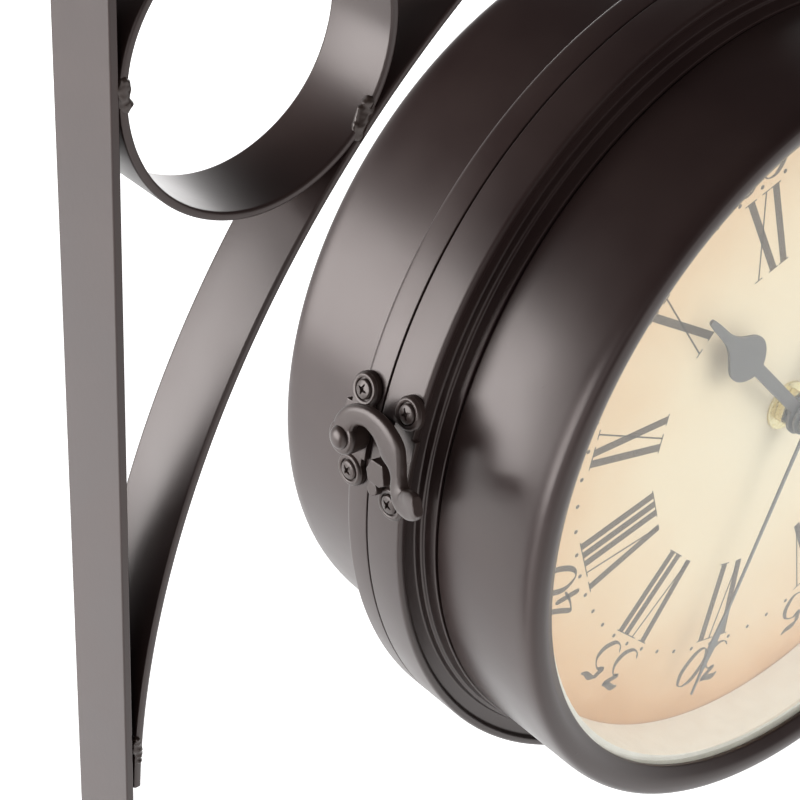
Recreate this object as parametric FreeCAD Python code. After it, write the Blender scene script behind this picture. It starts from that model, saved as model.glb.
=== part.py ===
# Double sided station clock on a strap-iron wall bracket.
# Millimetres, +Z up. X runs out from the wall (wall face at X = 0), the front dial faces -Y,
# and the origin is the middle of the wall bar's back face.
import os
import math
import FreeCAD, Part

os.makedirs("parts", exist_ok=True)
vec = FreeCAD.Vector
alongX = vec(1, 0, 0)
alongY = vec(0, 1, 0)
alongZ = vec(0, 0, 1)

# ---- driving dimensions -------------------------------------------------------------------
# bracket of flat iron strap
strapWidth = 20.0
strapThickness = 2.0
wallBarLength = 320.0
wallBarEndRadius = 9.0
wallHoleRadius = 2.75          # for 5 mm wall screws
wallHoleInset = 15.0           # hole centre to the bar's end
clockReach = 194.0             # wall face to the clock's own axis
clockDrop = -36.0              # height of the clock's own axis
ringOuterRadius = 34.0
braceInnerRadius = 239.0
braceCentreDrop = -49.9        # brace centre below the clock's axis
braceFootDrop = -42.6          # lower tip of the brace against the clock's axis
armOverhang = 44.0             # arm past the clock's axis
armEndRadius = 9.0
beadRadius = 2.4
beadProud = 0.8                # weld bead past each edge of the strap
beadGap = 0.03
# hanger
stemOffset = 4.0               # behind the split between the halves
stemRadius = 4.0
stemThreadRadius = 3.0
hangerNutFlats = 10.0
hangerNutHeight = 5.0
saddleWidth = 26.0
saddleTopRadius = 123.0
saddleFootRadius = 100.0
saddleFrontGap = 0.6
saddleRear = 13.0
# case, radii about the clock's own axis, depths from the split between the halves
flangeRadius = 117.0
splitHalfGap = 0.25
frontBand = 12.3
backBand = 7.7
sheet = 1.2
bandEdge = 1.4
faceInnerRadius = 112.2
shoulderRadius = 109.2
shoulderRise = 4.0
frontCupRadius = 108.8
backCupRadius = 107.6
cupHeight = 38.2
cupRounding = 4.4
openingRadius = 100.1
lipDrop = 2.5
seat = 0.3                     # clearance between pieces that only rest together
# inside each half
dialHeight = 16.6              # dial face above the band's outer face
dialThickness = 1.0
dialHole = 4.2
glassThickness = 2.0
glassOverlap = 2.9             # glass behind the lip
reflectorInset = 1.8           # white wall inside the rim's opening
reflectorSheet = 1.0
movementSize = 56.0
movementDepth = 16.0
bushingRadius = 4.0
bushingHeight = 4.2
bushingBore = 3.0
batteryRadius = 7.1
batteryLength = 49.0
batteryOffset = -19.0
washerRadius = 9.0
washerThickness = 0.8
nutFlats = 12.0
nutThickness = 2.4
knobRadius = 5.0
knobHeight = 4.5
knobStemRadius = 1.5
knobOffset = 12.0
# hands, heights above the dial face
hourHandHeight = 5.2
minuteHandHeight = 6.8
secondHandHeight = 8.4
handSheet = 0.8
hourHandTip = 60.6
hourHandNeck = 30.3            # where the arm meets the spade
hourSpadeHalf = 6.35
hourArmHalf = 1.8
hourHubRadius = 5.6
minuteHandTip = 88.0
minuteHandNeck = 54.0
minuteSpadeHalf = 5.2
minuteArmHalf = 1.6
minuteHubRadius = 5.0
minuteShaftRadius = 1.9
secondTip = 84.0
secondLeafAt = 68.0
secondLeafHalf = 1.5
secondTail = 24.0
secondTailHalf = 1.9
secondShaftRadius = 0.8
secondHubRadius = 4.4
secondCapHeight = 3.0
shaftFit = 0.1                 # radial running clearance of the hand shafts
# turn of the clock in its hanger, clockwise from the front
caseTurn = 9.2
dialTurn = 11.5
# time shown, in minutes round the dial
hourHandAt = 50.7
minuteHandAt = 8.4
secondHandAt = 31.65
# latch on the wall side
cutReach = 15.0                # how far an outline cutter reaches past the band, each way
plateGap = 0.1
plateThickness = 1.5
screwHeadRadius = 2.7
screwHeadHeight = 1.3
screwShankRadius = 1.4
screwLength = 4.6
earRadius = 4.3
latchEarSpread = 11.0
latchPlateY = 5.4
strikePlateY = -9.9
strikeEarSpread = 12.2
rivetY = 4.2
rivetRadius = 1.9
rivetFit = 0.05
rivetHeadRadius = 2.9
rivetHeadHeight = 1.7
hookBossRadius = 4.5
hookLift = 3.5                 # plate face to the hook's underside
hookThickness = 2.6
hookArchY = -4.6
hookArchZ = 1.0
hookArchOuter = 10.4
hookArchInner = 6.3
postY = -7.0
postZ = -4.6
nubRadius = 1.8
nubHeight = 2.6
nubAcross = 1.4
nubBelow = 5.1
# hinge on the far side
hingeOffset = 3.8              # hinge axis outside the flange
barrelRadius = 2.9
pinRadius = 1.2
pinFit = 0.05
knuckleLength = 8.0
knuckleGap = 0.2
hingeLeafWidth = 10.5
hingeLeafHalf = 12.0
hingeScrewSpread = 8.0

clockCentre = vec(clockReach, 0, clockDrop)
reflectorRadius = openingRadius - reflectorInset
glassRadius = openingRadius + glassOverlap


# ---- helpers --------------------------------------------------------------------------------
def save(name, shape):
    shape.exportStep("parts/" + name + ".step")
    print(name, len(shape.Solids), round(shape.Volume, 1))


def fuse(shapes):
    whole = shapes[0]
    for other in shapes[1:]:
        whole = whole.fuse(other)
    return whole.removeSplitter()


def polygon(points):
    return Part.Face(Part.makePolygon(points + [points[0]]))


def turned(profile):
    # revolve (radius, depth) pairs about the clock's own axis, with depth towards -Y
    face = polygon([vec(radius, -depth, 0) for radius, depth in profile])
    return face.revolve(vec(0, 0, 0), alongY, 360)


def disc(radius, low, high, hole=0.0):
    body = Part.makeCylinder(radius, high - low, vec(0, -low, 0), vec(0, -1, 0))
    if hole:
        body = body.cut(Part.makeCylinder(hole, high - low + 2, vec(0, -low + 1, 0), vec(0, -1, 0)))
    return body


def hexagon(flats, low, high, hole):
    corner = flats / math.sqrt(3)
    points = []
    for k in range(6):
        angle = math.radians(60 * k + 30)
        points.append(vec(corner * math.cos(angle), -low, corner * math.sin(angle)))
    body = polygon(points).extrude(vec(0, low - high, 0))
    return body.cut(disc(hole, low - 1, high + 1))


def toBack(shape):
    # the rear side is the front one turned half round about the upright
    shape = shape.copy()
    shape.rotate(vec(0, 0, 0), alongZ, 180)
    return shape


def place(shape, turn):
    shape = shape.copy()
    shape.rotate(vec(0, 0, 0), alongY, turn)
    shape.translate(clockCentre)
    return shape


# ---- bracket ----------------------------------------------------------------------------------
def strapOutline(length, endRadius):
    # flat strap in the YZ plane with rounded ends, centred on the origin
    body = Part.makeBox(strapThickness, strapWidth, length, vec(0, -strapWidth / 2, -length / 2))
    corners = [edge for edge in body.Edges if abs(edge.tangentAt(0).x) > 0.9]
    return body.makeFillet(endRadius, corners)


wallBar = strapOutline(wallBarLength, wallBarEndRadius)
for side in (-1, 1):
    holeZ = side * (wallBarLength / 2 - wallHoleInset)
    hole = Part.makeCylinder(wallHoleRadius, strapThickness + 2, vec(-1, 0, holeZ), alongX)
    wallBar = wallBar.cut(hole)

braceOuterRadius = braceInnerRadius + strapThickness
braceCentreX = strapThickness + braceOuterRadius
braceCentreZ = clockDrop + braceCentreDrop
ringX = strapThickness + ringOuterRadius
ringAcross = braceCentreX - ringX
ringZ = braceCentreZ + math.sqrt((braceOuterRadius + ringOuterRadius) ** 2 - ringAcross ** 2)
armUnderside = ringZ + ringOuterRadius


def hoop(outer, inner, x, z, width=strapWidth):
    start = vec(x, -width / 2, z)
    whole = Part.makeCylinder(outer, width, start, alongY)
    return whole.cut(Part.makeCylinder(inner, width, start, alongY))


ring = hoop(ringOuterRadius, ringOuterRadius - strapThickness, ringX, ringZ)

# the brace is the part of a large hoop between its foot and the arm
footZ = clockDrop + braceFootDrop
braceWindow = Part.makeBox(braceCentreX, strapWidth + 2, armUnderside - footZ,
                           vec(0, -strapWidth / 2 - 1, footZ))
brace = hoop(braceOuterRadius, braceInnerRadius, braceCentreX, braceCentreZ).common(braceWindow)

armLength = clockReach + armOverhang - strapThickness
arm = Part.makeBox(armLength, strapWidth, strapThickness,
                   vec(strapThickness, -strapWidth / 2, armUnderside))
armCorners = [edge for edge in arm.Edges
              if abs(edge.tangentAt(0).z) > 0.9 and edge.CenterOfMass.x > clockReach]
arm = arm.makeFillet(armEndRadius, armCorners)
stemHole = Part.makeCylinder(stemThreadRadius + rivetFit, strapThickness + 2,
                             vec(clockReach, stemOffset, armUnderside - 1), alongZ)
arm = arm.cut(stemHole)


# weld beads fill the wedges where straps meet and stand a little proud of both edges,
# cut by the straps with a hair of room so that no curved faces cross
beadWidth = strapWidth + 2 * beadGap
beadCutters = [
    Part.makeBox(strapThickness + beadGap, beadWidth, wallBarLength,
                 vec(0, -beadWidth / 2, -wallBarLength / 2)),
    Part.makeBox(armLength, beadWidth, strapThickness + 2 * beadGap,
                 vec(strapThickness, -beadWidth / 2, armUnderside - beadGap)),
    hoop(ringOuterRadius + beadGap, ringOuterRadius - strapThickness - beadGap, ringX, ringZ, beadWidth),
    hoop(braceOuterRadius + beadGap, braceInnerRadius - beadGap, braceCentreX, braceCentreZ, beadWidth),
]
wallSide = Part.makeBox(10.0, strapWidth + 10.0, wallBarLength,
                        vec(-9.5, -strapWidth / 2 - 5.0, -wallBarLength / 2))


def bead(x, z):
    body = Part.makeCylinder(beadRadius, strapWidth + 2 * beadProud,
                             vec(x, -strapWidth / 2 - beadProud, z), alongY)
    for cutter in beadCutters + [wallSide]:
        body = body.cut(cutter)
    return body


towardsBrace = math.atan2(braceCentreZ - ringZ, braceCentreX - ringX)
armMeetsBraceX = braceCentreX - math.sqrt(braceOuterRadius ** 2 - (armUnderside - braceCentreZ) ** 2)
footBeadZ = footZ + 11.0
beadSpots = (
    (strapThickness, ringZ),
    (ringX + ringOuterRadius * math.cos(towardsBrace), ringZ + ringOuterRadius * math.sin(towardsBrace)),
    (ringX, armUnderside),
    (armMeetsBraceX, armUnderside),
    (strapThickness, armUnderside),
    (strapThickness + 0.4, footBeadZ),
)
beads = []
for x, z in beadSpots:
    beads.extend(bead(x, z).Solids)
weldBeads = Part.makeCompound(beads)


# ---- case -------------------------------------------------------------------------------------
def flangeProfile(band):
    return [
        (flangeRadius, splitHalfGap),
        (flangeRadius, band - bandEdge),
        (flangeRadius - bandEdge, band),
        (faceInnerRadius, band),
        (shoulderRadius + 0.7, band + 1.3),
        (shoulderRadius, band + shoulderRise),
        (shoulderRadius - sheet, band + shoulderRise),
        (shoulderRadius - sheet, band + 0.7),
        (faceInnerRadius - 0.6, band - sheet),
        (flangeRadius - bandEdge - 0.6, band - sheet),
        (flangeRadius - sheet, band - bandEdge - 0.6),
        (flangeRadius - sheet, splitHalfGap),
    ]


def bezelProfile(band, cup):
    tail = shoulderRadius - sheet - seat
    crownRadius = cup - cupRounding
    crownDepth = band + cupHeight - cupRounding
    outside = [
        (tail, band + 1.0),
        (tail, band + shoulderRise + 0.6),
        (cup - 0.3, band + shoulderRise + 2.2),
        (cup, band + shoulderRise + 4.5),
    ]
    crown = []
    for step in range(5):
        angle = math.radians(22.5 * step)
        crown.append((crownRadius + cupRounding * math.cos(angle),
                      crownDepth + cupRounding * math.sin(angle)))
    lip = [
        (openingRadius, band + cupHeight - lipDrop),
        (openingRadius, band + cupHeight - lipDrop - sheet),
        (crownRadius - 0.3, band + cupHeight - sheet - 0.1),
        (crownRadius + 2.3, band + cupHeight - 2.3),
        (cup - sheet, crownDepth),
    ]
    inside = [
        (cup - sheet, band + shoulderRise + 4.5),
        (tail - sheet, band + shoulderRise + 0.6),
        (tail - sheet, band + 1.0),
    ]
    return outside + crown + lip + inside


def mirroredFace(side, height):
    # flat face between one smooth side and its mirror image, closed straight at the low end
    # and with a small arc at the tip; side is (across, along) pairs from low to tip
    edges = []
    for sign in (1, -1):
        curve = Part.BSplineCurve()
        curve.interpolate([vec(sign * across, -height, along) for across, along in side])
        edges.append(curve.toShape())
    lowAcross, lowAlong = side[0]
    tipAcross, tipAlong = side[-1]
    edges.append(Part.makeLine(vec(-lowAcross, -height, lowAlong), vec(lowAcross, -height, lowAlong)))
    tipArc = Part.Arc(vec(-tipAcross, -height, tipAlong), vec(0, -height, tipAlong + 0.8 * tipAcross),
                      vec(tipAcross, -height, tipAlong))
    edges.append(tipArc.toShape())
    return Part.Face(Part.Wire(Part.__sortEdges__(edges)))


def spadeHand(tip, neck, spadeHalf, armHalf, height, hub, bore, shaftRadius, shaftEnd):
    # flat spade hand pointing at XII: arm, heart-shaped blade running out to a blunt tip, round hub
    blade = tip - neck
    side = [(armHalf, neck), (0.76 * spadeHalf, neck + 0.09 * blade), (0.99 * spadeHalf, neck + 0.2 * blade),
            (0.92 * spadeHalf, neck + 0.33 * blade), (0.60 * spadeHalf, neck + 0.44 * blade),
            (0.29 * spadeHalf, neck + 0.58 * blade), (0.19 * spadeHalf, neck + 0.76 * blade),
            (0.12 * spadeHalf, neck + 0.975 * blade)]
    body = mirroredFace(side, height).extrude(vec(0, -handSheet, 0))
    arm = Part.makeBox(2 * armHalf, handSheet, neck + 1.0, vec(-armHalf, -height - handSheet, 0))
    body = body.fuse(arm)
    body = body.fuse(disc(hub, height, height + handSheet))
    body = body.fuse(disc(shaftRadius, shaftEnd, height + handSheet))
    if bore:
        body = body.cut(disc(bore, shaftEnd - 1, height + handSheet + 1))
    return body.removeSplitter()


def half(band, cup):
    # every piece of one half, facing -Y, with XII straight up
    dial = band + dialHeight
    dialBack = dial - dialThickness
    glassBack = band + cupHeight - lipDrop - sheet - 0.2 - glassThickness
    pieces = {}
    pieces["flange"] = turned(flangeProfile(band))
    pieces["bezel"] = turned(bezelProfile(band, cup))
    pieces["glass"] = disc(glassRadius, glassBack, glassBack + glassThickness)
    bowl = cup - sheet - seat
    pieces["reflector"] = turned([
        (reflectorRadius, dial + seat),
        (reflectorRadius + reflectorSheet, dial + seat),
        (reflectorRadius + reflectorSheet, glassBack - seat - reflectorSheet),
        (bowl, glassBack - seat - reflectorSheet),
        (bowl, glassBack - seat),
        (reflectorRadius, glassBack - seat),
    ])
    pieces["dial"] = disc(bowl, dialBack, dial, dialHole)

    # quartz movement: box, threaded bushing through the dial, battery bay in its back
    boxTop = dialBack - 0.1
    boxBottom = boxTop - movementDepth
    box = Part.makeBox(movementSize, movementDepth, movementSize,
                       vec(-movementSize / 2, -boxTop, -movementSize / 2))
    upright = [edge for edge in box.Edges if abs(edge.tangentAt(0).y) > 0.9]
    box = box.makeFillet(3.0, upright)
    box = box.fuse(disc(bushingRadius, boxTop - 1, dial + bushingHeight))
    box = box.cut(disc(bushingBore, boxTop - 5, dial + bushingHeight + 1))
    bayY = -(boxBottom + batteryRadius + 0.2)
    bay = Part.makeCylinder(batteryRadius + 0.2, batteryLength + 2,
                            vec(-batteryLength / 2 - 1, bayY, batteryOffset), alongX)
    bayMouth = Part.makeBox(batteryLength + 2, batteryRadius + 2, 2 * batteryRadius + 0.4,
                            vec(-batteryLength / 2 - 1, bayY, batteryOffset - batteryRadius - 0.2))
    box = box.cut(bay).cut(bayMouth)
    knobHole = Part.makeCylinder(knobStemRadius + shaftFit, 5.0,
                                 vec(0, -boxBottom + 1.0, knobOffset), vec(0, -1, 0))
    pieces["movement"] = box.cut(knobHole)
    cell = Part.makeCylinder(batteryRadius, batteryLength - 1.5,
                             vec(-batteryLength / 2, bayY, batteryOffset), alongX)
    button = Part.makeCylinder(2.6, 1.5, vec(batteryLength / 2 - 1.5, bayY, batteryOffset), alongX)
    pieces["battery"] = cell.fuse(button)
    knob = Part.makeCylinder(knobRadius, knobHeight, vec(0, -boxBottom + 0.3, knobOffset), alongY)
    stem = Part.makeCylinder(knobStemRadius, 3.5, vec(0, -boxBottom + 0.3, knobOffset), vec(0, -1, 0))
    pieces["knob"] = knob.fuse(stem)

    pieces["washer"] = disc(washerRadius, dial, dial + washerThickness, bushingRadius + rivetFit)
    pieces["nut"] = hexagon(nutFlats, dial + washerThickness, dial + washerThickness + nutThickness,
                            bushingRadius + rivetFit)

    # hands on nested shafts
    hourShaft = bushingBore - shaftFit
    pieces["hour_hand"] = spadeHand(hourHandTip, hourHandNeck, hourSpadeHalf, hourArmHalf,
                                    dial + hourHandHeight, hourHubRadius,
                                    minuteShaftRadius + shaftFit, hourShaft, dial - 1.0)
    pieces["minute_hand"] = spadeHand(minuteHandTip, minuteHandNeck, minuteSpadeHalf, minuteArmHalf,
                                      dial + minuteHandHeight, minuteHubRadius,
                                      secondShaftRadius + shaftFit, minuteShaftRadius, dial - 1.5)
    low = dial + secondHandHeight
    needleSide = [(0.85 * secondTailHalf, -secondTail), (secondTailHalf, -0.67 * secondTail),
                  (0.37 * secondTailHalf, -0.25 * secondTail), (0.3 * secondLeafHalf, 0.82 * secondLeafAt),
                  (secondLeafHalf, secondLeafAt),
                  (0.25 * secondLeafHalf, 0.4 * secondLeafAt + 0.6 * secondTip),
                  (0.17 * secondLeafHalf, secondTip)]
    needleOutline = needleSide + [(-across, along) for across, along in reversed(needleSide)]
    needle = polygon([vec(across, -low, along) for across, along in needleOutline]).extrude(vec(0, -0.5, 0))
    cap = turned([(0, low), (secondHubRadius, low), (secondHubRadius, low + 0.4 * secondCapHeight),
                  (0.94 * secondHubRadius, low + 0.62 * secondCapHeight),
                  (0.72 * secondHubRadius, low + 0.83 * secondCapHeight),
                  (0.4 * secondHubRadius, low + 0.96 * secondCapHeight), (0, low + secondCapHeight)])
    pieces["second_hand"] = fuse([needle, cap, disc(secondShaftRadius, dial - 2.0, low + 0.5)])
    return pieces


front = half(frontBand, frontCupRadius)
back = half(backBand, backCupRadius)
handAt = {"hour_hand": hourHandAt, "minute_hand": minuteHandAt, "second_hand": secondHandAt}
turnOf = {}
for name in front:
    # hands, dial and movement turn with the dial, the case pieces with the case
    turnOf[name] = caseTurn if name in ("flange", "bezel", "glass", "reflector") else dialTurn


# ---- latch and hinge fittings, in the clock's own frame ---------------------------------------
def screw(y, angle, outward):
    # pan-head screw standing radially on a plate; outward is -1 on the latch side, 1 on the hinge side
    face = flangeRadius + plateGap + plateThickness
    shank = Part.makeCylinder(screwShankRadius, screwLength, vec(outward * face, y, 0), vec(-outward, 0, 0))
    head = Part.makeCylinder(screwHeadRadius, screwHeadHeight, vec(outward * face, y, 0), vec(outward, 0, 0))
    body = head.fuse(shank)
    body.rotate(vec(0, 0, 0), alongY, angle)
    return body


def screwHole(y, angle, outward):
    body = Part.makeCylinder(screwShankRadius + rivetFit, 9.0, vec(outward * (flangeRadius + 4), y, 0),
                             vec(-outward, 0, 0))
    body.rotate(vec(0, 0, 0), alongY, angle)
    return body


def curvedPlate(outline):
    # plate bent to the band: a thin hoop cut by an outline pushed through along X
    inner = flangeRadius + plateGap
    width = 60.0
    shell = Part.makeCylinder(inner + plateThickness, width, vec(0, -width / 2, 0), alongY)
    shell = shell.cut(Part.makeCylinder(inner, width, vec(0, -width / 2, 0), alongY))
    return shell.common(outline)


def throughDisc(y, z, radius, outward):
    start = vec(outward * (flangeRadius - cutReach), y, z)
    return Part.makeCylinder(radius, 2 * cutReach, start, vec(outward, 0, 0))


def throughBox(yLow, yHigh, zLow, zHigh, outward):
    x = flangeRadius - cutReach if outward > 0 else -flangeRadius - cutReach
    return Part.makeBox(2 * cutReach, yHigh - yLow, zHigh - zLow, vec(x, yLow, zLow))


def earAngle(spread):
    return math.degrees(math.asin(spread / (flangeRadius + plateThickness)))


# back plate with two ears, a waist and a wide middle under the rivet
latchOutline = fuse([
    throughDisc(latchPlateY, latchEarSpread, earRadius, -1),
    throughDisc(latchPlateY, -latchEarSpread, earRadius, -1),
    throughBox(latchPlateY - 3.4, latchPlateY + 3.4, -latchEarSpread, latchEarSpread, -1),
    throughBox(0.9, 10.6, -6.2, 6.2, -1),
])
latchPlate = curvedPlate(latchOutline)
latchPlate = latchPlate.cut(throughDisc(rivetY, 0, rivetRadius + rivetFit, -1))
strikeOutline = fuse([
    throughDisc(strikePlateY, strikeEarSpread, earRadius, -1),
    throughDisc(strikePlateY, -strikeEarSpread, earRadius, -1),
    throughBox(strikePlateY - 3.4, strikePlateY + 3.4, -strikeEarSpread, strikeEarSpread, -1),
    throughBox(strikePlateY - 4.6, -1.2, -12.0, 7.0, -1),
])
strikePlate = curvedPlate(strikeOutline)

latchScrews = []
strikeScrews = []
backCaseHoles = []
frontCaseHoles = []
for sign in (-1, 1):
    # turning about +Y lifts the -X side, so a positive angle is an upper ear there
    latchAngle = sign * earAngle(latchEarSpread)
    strikeAngle = sign * earAngle(strikeEarSpread)
    latchScrews.append(screw(latchPlateY, latchAngle, -1))
    strikeScrews.append(screw(strikePlateY, strikeAngle, -1))
    latchHole = screwHole(latchPlateY, latchAngle, -1)
    strikeHole = screwHole(strikePlateY, strikeAngle, -1)
    latchPlate = latchPlate.cut(latchHole)
    strikePlate = strikePlate.cut(strikeHole)
    backCaseHoles.append(latchHole)
    frontCaseHoles.append(strikeHole)

plateFace = flangeRadius + plateGap + plateThickness
hookUnder = plateFace + hookLift
hookTop = hookUnder + hookThickness

# catch post: block with a cut-off head and a small nub below, its top just under the hook
postTop = hookUnder - seat
postHead = polygon([vec(-plateFace + 0.4, y, z) for y, z in (
    (postY + 3.6, postZ - 0.4), (postY + 2.4, postZ + 2.7), (postY - 1.6, postZ + 2.9),
    (postY - 3.4, postZ - 1.6), (postY - 1.8, postZ - 2.9), (postY + 2.2, postZ - 2.9))])
postHead = postHead.extrude(vec(-(postTop - plateFace + 0.4), 0, 0))
nubFoot = vec(-plateFace + 0.4, postY + nubAcross, postZ - nubBelow)
nub = Part.makeCylinder(nubRadius, nubHeight, nubFoot, vec(-1, 0, 0))
strikePlate = fuse([strikePlate, postHead, nub])

# rivet through the plate and the hook's boss, with a domed head
rivetTail = Part.makeCylinder(rivetRadius, hookTop - flangeRadius - plateGap - 0.1,
                              vec(-flangeRadius - plateGap - 0.1, rivetY, 0), vec(-1, 0, 0))
headFace = polygon([vec(-x, rivetY + r, 0) for x, r in (
    (hookTop + 0.1, 0), (hookTop + 0.1, rivetHeadRadius), (hookTop + 0.6, rivetHeadRadius),
    (hookTop + 1.3, rivetHeadRadius * 0.72), (hookTop + rivetHeadHeight, 0))])
rivetHead = headFace.revolve(vec(0, rivetY, 0), alongX, 360)
rivetNeck = Part.makeCylinder(rivetRadius, 0.4, vec(-hookTop + 0.1, rivetY, 0), vec(-1, 0, 0))
latchRivet = fuse([rivetTail, rivetNeck, rivetHead])

# swing hook: boss, arch over the post, outer leg and upturned finger
bossFoot = plateFace + 0.1


def hookDisc(y, z, radius, low=None):
    start = hookUnder if low is None else low
    return Part.makeCylinder(radius, hookTop - start, vec(-start, y, z), vec(-1, 0, 0))


def hookPlate(points):
    return polygon([vec(-hookUnder, y, z) for y, z in points]).extrude(vec(-hookThickness, 0, 0))


arch = hookDisc(hookArchY, hookArchZ, hookArchOuter).cut(hookDisc(hookArchY, hookArchZ, hookArchInner))
archKeep = hookPlate([(hookArchY - 12, hookArchZ), (hookArchY - 12, hookArchZ + 12),
                      (hookArchY + 12, hookArchZ + 12), (hookArchY + 12, hookArchZ)])
arch = arch.common(archKeep)
legRoot = hookArchY - hookArchOuter
leg = hookPlate([(legRoot, hookArchZ + 1.0), (legRoot + 4.6, hookArchZ + 2.2),
                 (legRoot + 4.4, hookArchZ - 0.5), (legRoot + 1.9, hookArchZ - 1.8),
                 (legRoot - 0.6, hookArchZ - 6.4), (legRoot - 3.2, hookArchZ - 5.4),
                 (legRoot - 1.8, hookArchZ - 2.0)])
finger = polygon([vec(-x, y, hookArchZ - 7.0) for x, y in (
    (hookUnder, legRoot + 0.2), (hookUnder + 0.8, legRoot - 3.6), (hookUnder + 4.2, legRoot - 6.8),
    (hookUnder + 7.6, legRoot - 7.6), (hookUnder + 7.8, legRoot - 5.4), (hookUnder + 5.2, legRoot - 4.6),
    (hookTop + 0.2, legRoot - 2.4), (hookTop, legRoot + 0.2))])
finger = finger.extrude(vec(0, 0, 5.0))
latchHook = fuse([hookDisc(rivetY, 0, hookBossRadius, bossFoot), arch, leg, finger])
latchHook = latchHook.cut(throughDisc(rivetY, 0, rivetRadius + rivetFit, -1))

# hinge: two bent leaves, five-part barrel and a pin
hingeX = flangeRadius + hingeOffset


def barrel(low, high, radius=barrelRadius):
    return Part.makeCylinder(radius, high - low, vec(hingeX, 0, low), alongZ)


knuckleHalf = knuckleLength / 2
backKnuckles = [(-knuckleHalf - knuckleLength, -knuckleHalf - knuckleGap),
                (knuckleHalf + knuckleGap, knuckleHalf + knuckleLength)]
frontKnuckles = [(-knuckleHalf, knuckleHalf)]


def leaf(side, knuckles, others):
    near = 0.6
    far = hingeLeafWidth
    low = near if side > 0 else -far
    high = far if side > 0 else -near
    body = curvedPlate(throughBox(low, high, -hingeLeafHalf, hingeLeafHalf, 1))
    for start, end in others:
        body = body.cut(barrel(start - knuckleGap - 0.1, end + knuckleGap + 0.1, barrelRadius + 0.4))
    for start, end in knuckles:
        web = Part.makeBox(3.0, 2.4, end - start, vec(flangeRadius + 0.5, near if side > 0 else -3.0, start))
        webLimit = Part.makeCylinder(flangeRadius + hingeOffset + 1, 40, vec(0, -20, 0), alongY)
        body = body.fuse(web.common(webLimit))
        body = body.fuse(barrel(start, end))
    body = body.cut(Part.makeCylinder(flangeRadius + plateGap, 60, vec(0, -30, 0), alongY))
    return body.cut(barrel(-40, 40, pinRadius + pinFit))


backLeaf = leaf(1, backKnuckles, frontKnuckles)
frontLeaf = leaf(-1, frontKnuckles, backKnuckles)
hingePin = barrel(-knuckleHalf - knuckleLength, knuckleHalf + knuckleLength, pinRadius)
pinHead = barrel(knuckleHalf + knuckleLength + 0.1, knuckleHalf + knuckleLength + 1.1, 2.0)
hingePin = fuse([hingePin, barrel(0, knuckleHalf + knuckleLength + 0.5, pinRadius), pinHead])
hingeBackScrews = []
hingeFrontScrews = []
hingeBackY = 5.8
hingeFrontY = -6.6
for sign in (-1, 1):
    angle = sign * earAngle(hingeScrewSpread)
    hingeBackScrews.append(screw(hingeBackY, angle, 1))
    hingeFrontScrews.append(screw(hingeFrontY, angle, 1))
    backHole = screwHole(hingeBackY, angle, 1)
    frontHole = screwHole(hingeFrontY, angle, 1)
    backLeaf = backLeaf.cut(backHole)
    frontLeaf = frontLeaf.cut(frontHole)
    backCaseHoles.append(backHole)
    frontCaseHoles.append(frontHole)

for hole in frontCaseHoles:
    front["flange"] = front["flange"].cut(hole)
for hole in backCaseHoles:
    # the rear flange is still facing -Y here, so the hole turns half round with it
    back["flange"] = back["flange"].cut(toBack(hole))

# ---- hanger: saddle on the rear half, stem up through the arm, nut on top --------------------
stemTop = armUnderside + strapThickness + hangerNutHeight + 2.0
saddle = Part.makeBox(saddleWidth, saddleRear - saddleFrontGap, saddleTopRadius + 1 - saddleFootRadius,
                      vec(-saddleWidth / 2, saddleFrontGap, saddleFootRadius))
saddleCrown = Part.makeCylinder(saddleTopRadius, 4 * saddleRear, vec(0, -2 * saddleRear, 0), alongY)
saddle = saddle.common(saddleCrown)
caseEnvelope = turned([(0, -1), (flangeRadius + plateGap, -1),
                       (flangeRadius + plateGap, backBand + plateGap),
                       (faceInnerRadius, backBand + plateGap), (shoulderRadius + 0.8, backBand + 1.5),
                       (shoulderRadius + plateGap, backBand + shoulderRise + plateGap),
                       (backCupRadius + plateGap, backBand + shoulderRise + 0.3),
                       (backCupRadius + plateGap, 40.0), (0, 40.0)])
saddle = saddle.cut(toBack(caseEnvelope))
saddle.translate(clockCentre)
stemFoot = clockDrop + saddleTopRadius - 3.0
stemStart = vec(clockReach, stemOffset, stemFoot)
stem = Part.makeCylinder(stemRadius, armUnderside - 0.1 - stemFoot, stemStart, alongZ)
thread = Part.makeCylinder(stemThreadRadius, stemTop - stemFoot, stemStart, alongZ)
hanger = fuse([saddle, stem, thread])
nutZ = armUnderside + strapThickness + 0.1
hangerNut = hexagon(hangerNutFlats, 0, hangerNutHeight, stemThreadRadius + rivetFit)
hangerNut.rotate(vec(0, 0, 0), alongX, -90)
hangerNut.translate(vec(clockReach, stemOffset, nutZ))

# ---- write every node --------------------------------------------------------------------------
save("wall_bar", wallBar)
save("arm", arm)
save("brace", brace)
save("ring", ring)
save("weld_beads", weldBeads)
save("hanger", hanger)
save("hanger_nut", hangerNut)
for prefix, pieces, outward in (("front_", front, lambda s: s), ("back_", back, toBack)):
    for name, shape in pieces.items():
        if name in handAt:
            shape = shape.copy()
            shape.rotate(vec(0, 0, 0), alongY, 6.0 * handAt[name])
        save(prefix + name, place(outward(shape), turnOf[name]))
save("latch_plate", place(latchPlate, caseTurn))
save("latch_screws", place(Part.makeCompound(latchScrews), caseTurn))
save("latch_rivet", place(latchRivet, caseTurn))
save("latch_hook", place(latchHook, caseTurn))
save("strike_plate", place(strikePlate, caseTurn))
save("strike_screws", place(Part.makeCompound(strikeScrews), caseTurn))
save("hinge_back_leaf", place(backLeaf, caseTurn))
save("hinge_front_leaf", place(frontLeaf, caseTurn))
save("hinge_pin", place(hingePin, caseTurn))
save("hinge_back_screws", place(Part.makeCompound(hingeBackScrews), caseTurn))
save("hinge_front_screws", place(Part.makeCompound(hingeFrontScrews), caseTurn))
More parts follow.
